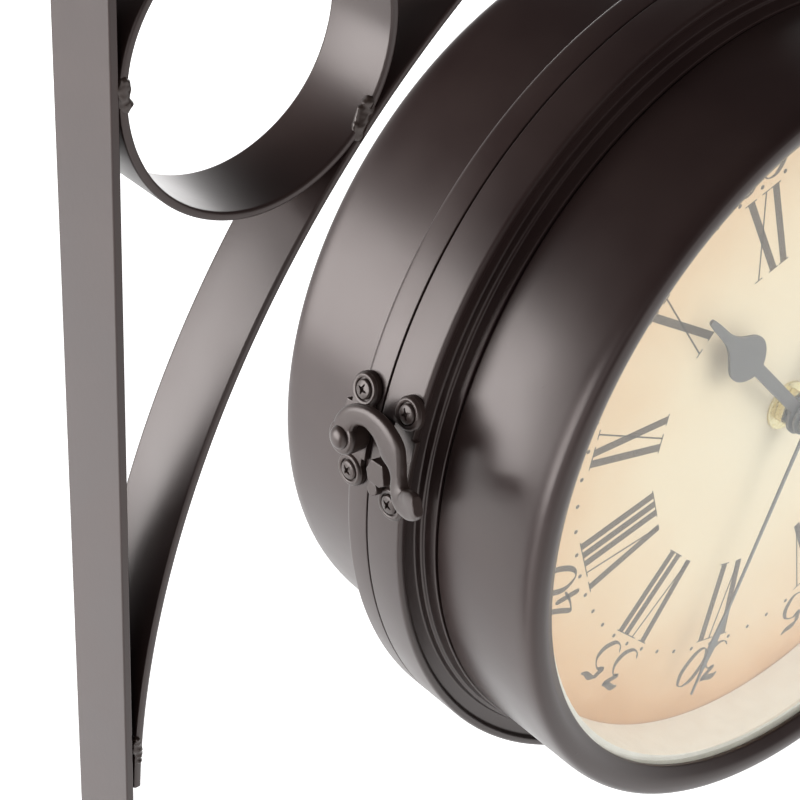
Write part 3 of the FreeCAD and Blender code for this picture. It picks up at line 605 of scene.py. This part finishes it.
# dial printing
printing = {
    "inner": 48.2, "outer": 73.2, "dotRing": 75.4, "dotRadius": 0.6, "thick": 2.15, "hair": 0.42, "serif": 0.30,
    "height": 0.05, "digitLow": 76.6, "digitHeight": 11.8, "digitWidth": 10.2, "digitPitch": 9.8,
    "penThick": 1.7, "penThin": 0.36, "penAngle": 62.0, "digitSlant": 0.12,
}


def inkStroke(path, width, face):
    # flat stroke: a path of (across, up) points with a width at each, given a hair of thickness
    path = np.array(path, float)
    width = np.broadcast_to(np.array(width, float), (len(path),))[:, None]
    run = np.gradient(path, axis=0)
    run = run / np.maximum(np.linalg.norm(run, axis=1, keepdims=True), 1e-9)
    beside = np.stack([run[:, 1], -run[:, 0]], -1) * width / 2
    a, b = path - beside, path + beside
    low, high = np.full((len(path), 1), face), np.full((len(path), 1), face + printing["height"])
    corners = [np.hstack([p[:, :1], d, p[:, 1:]]) for p, d in ((a, low), (b, low), (b, high), (a, high))]
    points = np.stack(corners, 1).reshape(-1, 3)
    last = (len(path) - 1) * 4
    faces = gridFaces(len(path), 4, False, True).tolist() + [[0, 1, 2, 3], [last, last + 1, last + 2, last + 3]]
    return points, faces


def numeralStrokes(word, lean=0.0):
    # strokes of a Roman numeral: (across at the inner end, across at the outer end, thick or not)
    # and the serif bars, with the word centred on its own middle
    pitch, vWidth, xWidth = 3.25, 7.2, 6.8
    strokes, bars = [], []
    at = 0.0
    for k, letter in enumerate(word):
        if letter == "I":
            strokes.append((at + 1.6, at + 1.6, True))
            bars += [(at - 0.1, at + 3.3, "inner"), (at - 0.1, at + 3.3, "outer")]
            at += pitch
        elif letter == "V":
            strokes += [(at + 4.6, at + 1.3, True), (at + 4.6, at + 7.0, False)]
            bars += [(at - 0.6, at + 3.4, "outer"), (at + 5.6, at + 8.6, "outer")]
            at += vWidth + 1.6
        else:
            strokes += [(at + 6.2, at + 1.3, True), (at + 0.9, at + 6.6, False)]
            bars += [(at - 0.7, at + 3.2, "outer"), (at + 5.2, at + 7.9, "outer"),
                     (at - 0.4, at + 2.2, "inner"), (at + 4.6, at + 7.8, "inner")]
            at += xWidth + 1.5
    middle = at / 2 - 0.3
    strokes = [(a - middle - lean / 2, b - middle + lean / 2, thick) for a, b, thick in strokes]
    bars = [(a - middle + (lean / 2 if end == "outer" else -lean / 2),
             b - middle + (lean / 2 if end == "outer" else -lean / 2), end) for a, b, end in bars]
    return strokes, bars


digitPaths = {
    # pen paths in a box one wide and one high; each digit is a list of strokes, a flag's with widths
    "0": [[(0.62, 0.98), (0.30, 0.82), (0.06, 0.36), (0.24, 0.0), (0.58, 0.08), (0.88, 0.52), (0.84, 0.88),
           (0.62, 0.98)]],
    "1": [[(0.34, 0.80), (0.48, 0.88), (0.60, 1.00)], [(0.60, 1.00), (0.54, 0.55), (0.46, 0.02)],
          [(0.28, 0.0), (0.64, 0.03)]],
    "2": [[(0.24, 0.72), (0.34, 0.94), (0.62, 0.98), (0.78, 0.76), (0.58, 0.42), (0.14, 0.06)],
          [(0.14, 0.06), (0.34, 0.12), (0.56, 0.02), (0.80, 0.08)]],
    "3": [[(0.22, 0.90, 0.5), (0.40, 0.97, 1.9), (0.66, 0.94, 1.7), (0.86, 0.98, 0.5)],
          [(0.84, 0.96), (0.66, 0.80), (0.46, 0.64)],
          [(0.46, 0.64), (0.70, 0.66), (0.90, 0.42), (0.84, 0.14), (0.58, -0.02), (0.32, 0.0), (0.16, 0.14)]],
    "4": [[(0.72, 1.0), (0.42, 0.64), (0.10, 0.34)], [(0.10, 0.34), (0.46, 0.30), (0.88, 0.34)],
          [(0.74, 0.66), (0.66, 0.32), (0.58, 0.0)]],
    "5": [[(0.40, 0.92, 0.7), (0.60, 0.96, 1.9), (0.84, 0.94, 1.5), (1.02, 0.99, 0.5)],
          [(0.40, 0.93), (0.36, 0.78), (0.30, 0.62)],
          [(0.30, 0.62), (0.56, 0.70), (0.86, 0.52), (0.88, 0.24), (0.62, 0.0), (0.34, 0.0), (0.16, 0.14)]],
    "6": [[(0.82, 0.96), (0.50, 0.84), (0.22, 0.46), (0.22, 0.12), (0.46, 0.0), (0.72, 0.18), (0.72, 0.46),
           (0.52, 0.58), (0.26, 0.42)]],
}


def penStroke(points, face):
    # broad pen held at one angle: widest across it, thinnest along it; the points of a flag that fills
    # from two turns of the pen give their own widths
    path = smoothPath(points, 7)
    if path.shape[1] == 3:
        return inkStroke(path[:, :2], path[:, 2], face)
    run = np.gradient(path, axis=0)
    heading = np.arctan2(run[:, 1], run[:, 0]) - math.radians(printing["penAngle"] - 90)
    width = printing["penThin"] + (printing["penThick"] - printing["penThin"]) * np.sin(heading) ** 2
    ends = np.minimum(np.linspace(0, 1, len(path)), np.linspace(1, 0, len(path)))
    return inkStroke(path, width * np.clip(0.45 + 6 * ends, 0, 1), face)


def dialPrinting(face):
    # everything printed on one dial, as thin forms in the clock's own frame
    forms = []
    words = ["XII", "I", "II", "III", "IIII", "V", "VI", "VII", "VIII", "IX", "X", "XI"]

    def add(form, minute):
        points, faces = form
        a = math.radians(6 * minute)
        x, z = points[:, 0].copy(), points[:, 2].copy()
        points[:, 0] = x * math.cos(a) + z * math.sin(a)
        points[:, 2] = z * math.cos(a) - x * math.sin(a)
        forms.append((points, faces))

    for hour, word in enumerate(words):
        strokes, bars = numeralStrokes(word, 2.6 if word == "VIII" else 0.0)
        for inner, outer, thick in strokes:
            width = printing["thick"] if thick else printing["hair"]
            path = np.linspace((inner, printing["inner"]), (outer, printing["outer"]), 3)
            add(inkStroke(path, width, face), hour * 5)
        for left, right, end in bars:
            ends = [(left, printing[end]), (right, printing[end])]
            add(inkStroke(ends, printing["serif"], face + 0.01), hour * 5)
    for minute in range(60):
        a = np.linspace(0, 2 * math.pi, 10, endpoint=False)
        ring = np.stack([printing["dotRadius"] * np.cos(a), 0 * a + face,
                         printing["dotRing"] + printing["dotRadius"] * np.sin(a)], -1)
        top = ring + np.array([0, printing["height"], 0])
        faces = gridFaces(2, 10, False, True).tolist() + [list(range(10)), list(range(10, 20))]
        add((np.vstack([ring, top]), faces), minute)
    for mark in range(5, 65, 5):
        text = str(mark)
        for k, digit in enumerate(text):
            shift = (k - (len(text) - 1) / 2) * printing["digitPitch"]
            turn = math.degrees(shift / (printing["digitLow"] + printing["digitHeight"] / 2)) / 6
            for points in digitPaths[digit]:
                points = np.array(points, float)
                points[:, 0] = (points[:, 0] - 0.5 + printing["digitSlant"] * (points[:, 1] - 0.5))
                points[:, :2] *= (printing["digitWidth"], printing["digitHeight"])
                points[:, 1] += printing["digitLow"]
                add(penStroke(points, face), mark + turn)
    return forms


for side, half in halves.items():
    face = half["band"] + 16.6 + 0.02
    forms = [(toScene(points, clock["dialTurn"], half["rear"]), faces) for points, faces in dialPrinting(face)]
    makePiece(side + "_dial_printing", forms, printInk, half["body"], (), 30)
print("dial printing ready")


# finishes on the frame's own pieces
finishes = {
    windowGlass: ["front_glass", "back_glass"],
    dialPaper: ["front_dial", "back_dial"],
    reflectorWhite: ["front_reflector", "back_reflector"],
}
for material, names in finishes.items():
    for name in names:
        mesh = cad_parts[name].data
        mesh.materials.clear()
        mesh.materials.append(material)

workings = {
    # part: finish, body, slot, edge rounding; with no body of its own it rides on its half
    "movement": (movementPlastic, "", "movement_plastic", 0.8),
    "knob": (movementPlastic, "setting", "movement_plastic", 0.4),
    "battery": (batterySleeve, "", "battery_case", 0.5),
    "washer": (brass, "", "brass", 0.2),
    "nut": (brass, "", "brass", 0.5),
    "hour_hand": (handPaint, "hour", "hand_paint", 0.16),
    "minute_hand": (handPaint, "minute", "hand_paint", 0.16),
    "second_hand": (handPaint, "second", "hand_paint", 0.1),
}
centre = Vector(clock["centre"]) * mm
turnedShare = 0.78  # size of the photograph's washer and nut beside the frame's, about the same axis
shrink = Matrix.Translation(centre) @ Matrix.Diagonal((turnedShare, 1, turnedShare, 1)) @ Matrix.Translation(-centre)
for side, half in halves.items():
    for part, (material, rider, slot, ease) in workings.items():
        body = side + "_" + rider if rider else half["body"]
        piece = copiedNode(side + "_" + part + "_eased", side + "_" + part, material, body)
        if part in ("washer", "nut"):
            piece.data.transform(shrink)
        easeEdges(piece, ease)
print("finishes ready")


# studio
studio = {
    "floorDrop": 420.0, "floorSize": 9000.0,
    # strength low on each side, and overhead; the room darkens upwards and to the front right
    "low": 1.0, "overhead": 0.03, "frontRight": 0.2,
    "lamps": {
        # name: direction from the clock, distance, width, height, power in watts
        "sideBox": ((-0.90, 0.42, 0.05), 1500.0, 1250.0, 850.0, 22.0),
        "frontBox": ((0.25, -0.80, 0.62), 1700.0, 1200.0, 1200.0, 9.3),
        "rearBox": ((0.64, 0.76, -0.08), 1700.0, 1300.0, 900.0, 9.0),
    },
}


def studioWorld():
    # pale walls low down on the left and behind, a dark ceiling, a darker room to the front right;
    # the camera, and what glass lets through, see plain white
    world = bpy.data.worlds.new("studio")
    scene.world = world
    world.use_nodes = True
    tree = world.node_tree
    tree.nodes.clear()
    direction = addNode(tree, "ShaderNodeTexCoord").outputs["Generated"]
    parts = addNode(tree, "ShaderNodeSeparateXYZ", links={"Vector": direction})
    height = addNode(tree, "ShaderNodeMapRange", {"From Min": 0.22, "From Max": 0.62, "To Min": studio["low"],
                                                  "To Max": studio["overhead"], "interpolation_type": "SMOOTHSTEP"},
                     {"Value": parts.outputs["Z"]})
    corner = addNode(tree, "ShaderNodeVectorMath", {"operation": "DOT_PRODUCT", 1: (0.45, -0.89, 0.0)}, {0: direction})
    away = addNode(tree, "ShaderNodeMapRange", {"From Min": 0.1, "From Max": 0.7, "To Min": 1.0,
                                                "To Max": studio["frontRight"], "interpolation_type": "SMOOTHSTEP"},
                   {"Value": corner.outputs["Value"]})
    strength = addNode(tree, "ShaderNodeMath", {"operation": "MULTIPLY"},
                       {0: height.outputs["Result"], 1: away.outputs["Result"]})
    path = addNode(tree, "ShaderNodeLightPath")
    plain = addNode(tree, "ShaderNodeBackground", {"Color": linear("#ffffff")},
                    {"Strength": strength.outputs["Value"]})
    white = addNode(tree, "ShaderNodeBackground", {"Color": linear("#ffffff"), "Strength": 1.0})
    direct = addNode(tree, "ShaderNodeMath", {"operation": "MAXIMUM"},
                     {0: path.outputs["Is Camera Ray"], 1: path.outputs["Is Transmission Ray"]})
    seen = addNode(tree, "ShaderNodeMixShader", links={0: direct.outputs["Value"], 1: plain.outputs["Background"],
                                                       2: white.outputs["Background"]})
    output = addNode(tree, "ShaderNodeOutputWorld")
    tree.links.new(seen.outputs["Shader"], output.inputs["Surface"])


def studioFloor():
    # white paper, which the camera, gloss and glass see at full white apart from the object's shadow
    size, low = studio["floorSize"] * mm / 2, (clock["centre"][2] - 120 - studio["floorDrop"]) * mm
    mesh = bpy.data.meshes.new("studioFloor")
    corners = [(-size, -size, low), (size, -size, low), (size, size, low), (-size, size, low)]
    mesh.from_pydata(corners, [], [(0, 1, 2, 3)])
    material, tree, output = newMaterial("paperBackdrop")
    path = addNode(tree, "ShaderNodeLightPath")
    first = addNode(tree, "ShaderNodeMath", {"operation": "MAXIMUM"},
                    {0: path.outputs["Is Camera Ray"], 1: path.outputs["Is Glossy Ray"]})
    seen = addNode(tree, "ShaderNodeMath", {"operation": "MAXIMUM"},
                   {0: first.outputs["Value"], 1: path.outputs["Is Transmission Ray"]})
    glow = addNode(tree, "ShaderNodeMath", {"operation": "MULTIPLY", 1: 0.85}, {0: seen.outputs["Value"]})
    shader = addNode(tree, "ShaderNodeBsdfPrincipled", {"Base Color": linear("#e8e8e8"), "Roughness": 0.9,
                                                        "Emission Color": linear("#ffffff")},
                     {"Emission Strength": glow.outputs["Value"]})
    tree.links.new(shader.outputs["BSDF"], output.inputs["Surface"])
    mesh.materials.append(material)
    floor = bpy.data.objects.new("studioFloor", mesh)
    scene.collection.objects.link(floor)


def softBox(name, direction, distance, width, height, power):
    lamp = bpy.data.lights.new(name, "AREA")
    lamp.shape = "RECTANGLE"
    lamp.size, lamp.size_y = width * mm, height * mm
    lamp.energy = power
    box = bpy.data.objects.new(name, lamp)
    scene.collection.objects.link(box)
    aim = Vector(direction).normalized()
    box.location = Vector(clock["centre"]) * mm + aim * distance * mm
    box.rotation_euler = aim.to_track_quat("Z", "Y").to_euler()
    box.visible_camera = False
    box.visible_glossy = name != "frontBox"  # it lights the dial without glare on the paint


studioWorld()
studioFloor()
for name, (direction, distance, width, height, power) in studio["lamps"].items():
    softBox(name, direction, distance, width, height, power)

view = {
    # the photograph's camera: place from the clock's centre, turns in degrees, lens and sensor
    "fromClock": (-397.2, -321.7, 314.2), "euler": (56.357, -2.959, -39.939), "lens": 98.84, "sensor": 36.0,
}
cameraData = bpy.data.cameras.new("camera")
cameraData.lens = view["lens"]
cameraData.sensor_width = view["sensor"]
cameraData.clip_start = 0.01
camera = bpy.data.objects.new("camera", cameraData)
scene.collection.objects.link(camera)
camera.location = (Vector(clock["centre"]) + Vector(view["fromClock"])) * mm
camera.rotation_euler = Euler([math.radians(angle) for angle in view["euler"]], "XYZ")
scene.camera = camera
print("studio ready")
